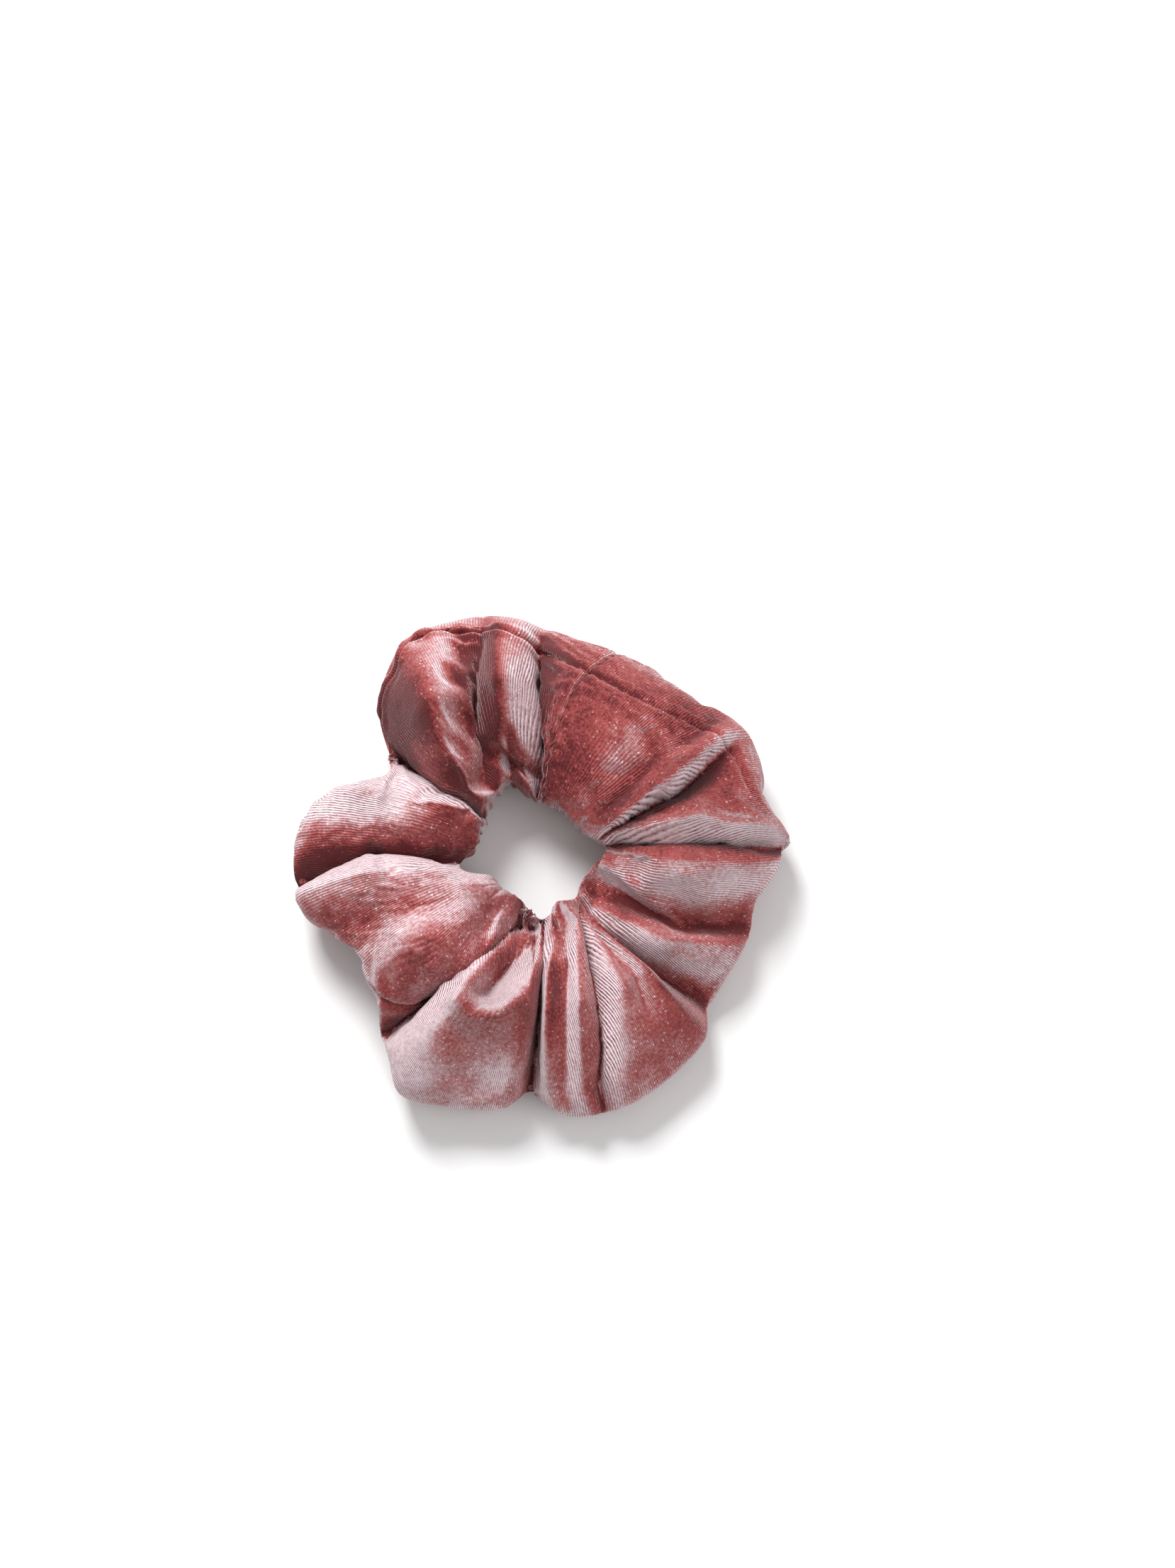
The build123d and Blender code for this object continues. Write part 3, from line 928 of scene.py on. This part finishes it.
def seam_stitches(name, line, ups, lift):
    """Stitches at an even pitch along a closed seam line, bridging up from the cloth by a lift."""
    closed = np.concatenate([line, line[:1]])
    closed_ups = np.concatenate([ups, ups[:1]])
    length = np.append(0, np.cumsum(np.linalg.norm(np.diff(closed, axis=0), axis=1)))
    count = int(round(length[-1] / STITCH_PITCH))
    bridge = np.linspace(0, 1, STITCH_RINGS)
    at = (np.arange(count)[:, None] + STITCH_START + STITCH_SHARE * bridge) * length[-1] / count
    paths = np.stack([np.interp(at, length, closed[:, k]) for k in range(3)], -1)
    normals_there = unit(np.stack([np.interp(at, length, closed_ups[:, k]) for k in range(3)], -1))
    rise = (np.sin(np.pi * bridge) * 1.4 - 0.4) * lift
    print(name, count, "stitches over", round(length[-1] / MM), "mm")
    return threads(name, paths + normals_there * rise[None, :, None], normals_there, THREAD_RADIUS)


seam_normals = grid_normals(surface)
long_seam = seam_stitches("long_seam_thread", surface[:, 0], seam_normals[:, 0], 0.30 * MM)
closing_seam = seam_stitches("closing_seam_thread", surface[0], seam_normals[0], 0.25 * MM)

# %% The finish of the thread, on both seams
def twisted_thread(name, colour):
    """Matt thread: fine light and dark bands for its twist, and a little fuzz."""
    material, tree, skin = new_material(name, {"Roughness": 0.6, "Sheen Weight": 0.2})
    place = add_node(tree, "ShaderNodeTexCoord").outputs["Object"]
    twist = wave(tree, place, 900.0, 1.5, bands_direction="DIAGONAL")
    fuzz = mottle(tree, place, 4000.0)
    tone = calc(tree, "MULTIPLY_ADD", twist, 0.7, calc(tree, "MULTIPLY", fuzz, 0.3))
    dark = tuple(0.45 * c for c in colour)
    feed(tree, skin.inputs["Base Color"], colour_ramp(tree, tone, [(0.1, dark), (0.8, colour)]))
    add_bump(tree, skin, tone, 0.5, 0.08 * MM)
    return material


rose_thread = twisted_thread("rose_thread", (0.30, 0.055, 0.055))
LONG_SEAM_NODES = ("long_seam_still_half", "long_seam_pulled_half")
for piece, nodes in ((long_seam, LONG_SEAM_NODES), (closing_seam, ("closing_seam",))):
    piece.data.materials.append(rose_thread)
    stretches(piece)
    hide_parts(*nodes)
print("thread on", long_seam.name, "and", closing_seam.name)

# %% [markdown]
# ## Elastic
# One flat braided band runs loose inside the tube, close to the hole. Its two ends lap and are held
# by a zigzag. It is a profile, a flat oblong with the ribs of the braid, carried along a ring at the
# height and the lean that the room inside the cover gives it.

# %% The elastic band
BRAID_RIBS, RIB_HEIGHT = 8, 0.05 * MM
PROFILE_POINTS = 64


def band_profile(points):
    """Across and outward places of the band's outline: an oblong with round edges and ribs.

    A superellipse of power 6 gives the oblong. The ribs are a cosine across its width.
    """
    turn = 2 * np.pi * np.arange(points) / points
    c, s = np.cos(turn), np.sin(turn)
    r = (np.abs(c) ** 6 + np.abs(s) ** 6) ** (-1 / 6)
    across, out = r * c, r * s
    ribs = RIB_HEIGHT * np.cos(across * np.pi * BRAID_RIBS) * np.sign(out) * (np.abs(c) < 0.98)
    return across * ELASTIC_WIDTH / 2, out * ELASTIC_THICKNESS / 2 + ribs


def elastic_frame(angle):
    """Centre, width direction and outward direction of the band at angles from its inner end.

    It starts past +Y and goes once round and on over its own start, where it lies one thickness
    further out. The sine of its lean is the share of its width that the room lets stand up.
    """
    at = (np.pi / 2 - LAP_ANGLE + angle) % (2 * np.pi)
    height, rise = elastic_section(at)
    lean = np.arcsin(rise)
    lapped = np.clip((angle - (2 * np.pi - LAP_ANGLE * 1.2)) / (LAP_ANGLE * 1.2), 0, 1)
    lapped = lapped * lapped * (3 - 2 * lapped)
    outward = np.stack([np.cos(at), np.sin(at), np.zeros_like(at)], -1)
    upward = np.array([0.0, 0.0, 1.0])
    width_way = upward * np.sin(lean)[:, None] + outward * np.cos(lean)[:, None]
    out_way = outward * np.sin(lean)[:, None] - upward * np.cos(lean)[:, None]
    centre = outward * ELASTIC_RADIUS + upward * height[:, None]
    return centre + out_way * (lapped * (ELASTIC_THICKNESS + 0.15 * MM))[:, None], width_way, out_way


def elastic_band():
    """The profile carried along the ring, closed at its two ends."""
    angle = np.linspace(0, 2 * np.pi + LAP_ANGLE, ELASTIC_STEPS)
    centre, width_way, out_way = elastic_frame(angle)
    across, out = band_profile(PROFILE_POINTS)
    points = (
        centre[:, None]
        + width_way[:, None] * across[None, :, None]
        + out_way[:, None] * out[None, :, None]
    )
    index = np.arange(ELASTIC_STEPS * PROFILE_POINTS).reshape(ELASTIC_STEPS, PROFILE_POINTS)
    caps = [index[0, ::-1].tolist(), index[-1].tolist()]
    piece = new_mesh("elastic_band", points, tube_walls(index), caps)
    smooth = np.ones(len(piece.data.polygons), bool)
    smooth[-2:] = False
    piece.data.polygons.foreach_set("use_smooth", smooth)
    print("elastic is", np.linalg.norm(np.diff(centre, axis=0), axis=1).sum() / MM, "mm with its lap")
    return piece


def braided_elastic():
    """Off-white braid: fine bands across the band over its modelled ribs."""
    material, tree, skin = new_material("braided_elastic", {"Roughness": 0.65})
    place = add_node(tree, "ShaderNodeTexCoord").outputs["Object"]
    weave = wave(tree, place, 500.0, 2.0, wave_type="RINGS", rings_direction="Z")
    yarn = mottle(tree, place, 2500.0)
    tone = calc(tree, "MULTIPLY_ADD", weave, 0.5, calc(tree, "MULTIPLY", yarn, 0.5))
    stops = [(0.2, (0.55, 0.52, 0.46)), (0.7, (0.86, 0.84, 0.79))]
    feed(tree, skin.inputs["Base Color"], colour_ramp(tree, tone, stops))
    add_bump(tree, skin, tone, 0.6, 0.12 * MM)
    return material


elastic = elastic_band()
elastic.data.materials.append(braided_elastic())
stretches(elastic)
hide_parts("elastic_still_half", "elastic_pulled_half", "elastic_lapped_end")

# %% The zigzag on the lap
ZIGZAG_COUNT = 6
ZIGZAG_MARGIN = 1 * MM


def zigzag():
    """Threads from edge to edge of the band over the lap, each a step further round."""
    step = LAP_ANGLE * 0.8 / ZIGZAG_COUNT
    share = np.linspace(0.06, 0.94, STITCH_RINGS)
    number = np.arange(ZIGZAG_COUNT)[:, None]
    angle = 2 * np.pi + LAP_ANGLE * 0.1 + step * (number + share)
    shape = (ZIGZAG_COUNT, STITCH_RINGS, 3)
    centre, width_way, out_way = (part.reshape(shape) for part in elastic_frame(angle.ravel()))
    side = np.where(number % 2 == 0, 1, -1) * (2 * share - 1) * (ELASTIC_WIDTH / 2 - ZIGZAG_MARGIN)
    lift = ELASTIC_THICKNESS / 2 + THREAD_RADIUS + 0.05 * MM
    paths = centre + width_way * side[..., None] + out_way * lift
    return threads("elastic_join_thread", paths, out_way, THREAD_RADIUS)


join_thread = zigzag()
join_thread.data.materials.append(twisted_thread("white_thread", (0.75, 0.73, 0.70)))
stretches(join_thread)
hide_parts("elastic_join_stitching")
print("zigzag of", ZIGZAG_COUNT, "threads")

# %% [markdown]
# ## Floor, light and camera
# A large soft light stands behind the hair tie on the left and a weak one fills in from the right.

# %% Floor, light and camera
floor = square("floor", 3)
floor.data.materials.append(new_material("paper", {"Base Color": (0.86, 0.86, 0.86, 1)})[0])

world = bpy.data.worlds.new("studio")
bpy.context.scene.world = world
world.use_nodes = True
world.node_tree.nodes["Background"].inputs["Color"].default_value = (1, 1, 1, 1)
world.node_tree.nodes["Background"].inputs["Strength"].default_value = 0.48


def placed(name, data, place, aim):
    """An object at a place, turned so that its -Z looks at an aim."""
    made = bpy.data.objects.new(name, data)
    made.location = place
    made.rotation_euler = (aim - Vector(place)).to_track_quat("-Z", "Y").to_euler()
    bpy.context.collection.objects.link(made)
    return made


def soft_box(name, place, size, power):
    """A square area light in watts that looks at the middle."""
    light = bpy.data.lights.new(name, "AREA")
    light.energy, light.size = power, size
    return placed(name, light, place, Vector((0, 0, 0)))


soft_box("key", (-0.30, 0.40, 0.55), 0.30, 7.0)
soft_box("fill", (0.5, -0.1, 0.5), 0.5, 1.5)

AZIMUTH, ELEVATION = radians(LAYOUT_TURN), radians(76)
CAMERA_DISTANCE, LENS = 0.59, 60  # metres and mm
AIM_HEIGHT, AIM_RIGHT, AIM_AHEAD = 0.012, 0.0118, 0.0158  # metres
right = Vector((cos(AZIMUTH), sin(AZIMUTH), 0))
ahead = Vector((-sin(AZIMUTH), cos(AZIMUTH), 0))
aim = Vector((0, 0, AIM_HEIGHT)) + right * AIM_RIGHT + ahead * AIM_AHEAD
back = ahead * CAMERA_DISTANCE * cos(ELEVATION)
camera_data = bpy.data.cameras.new("camera")
camera_data.lens = LENS
camera_place = aim - back + Vector((0, 0, CAMERA_DISTANCE * sin(ELEVATION)))
camera = placed("camera", camera_data, camera_place, aim)
bpy.context.scene.camera = camera
bpy.context.scene.view_settings.view_transform = "Standard"
print("camera at", tuple(camera.location))
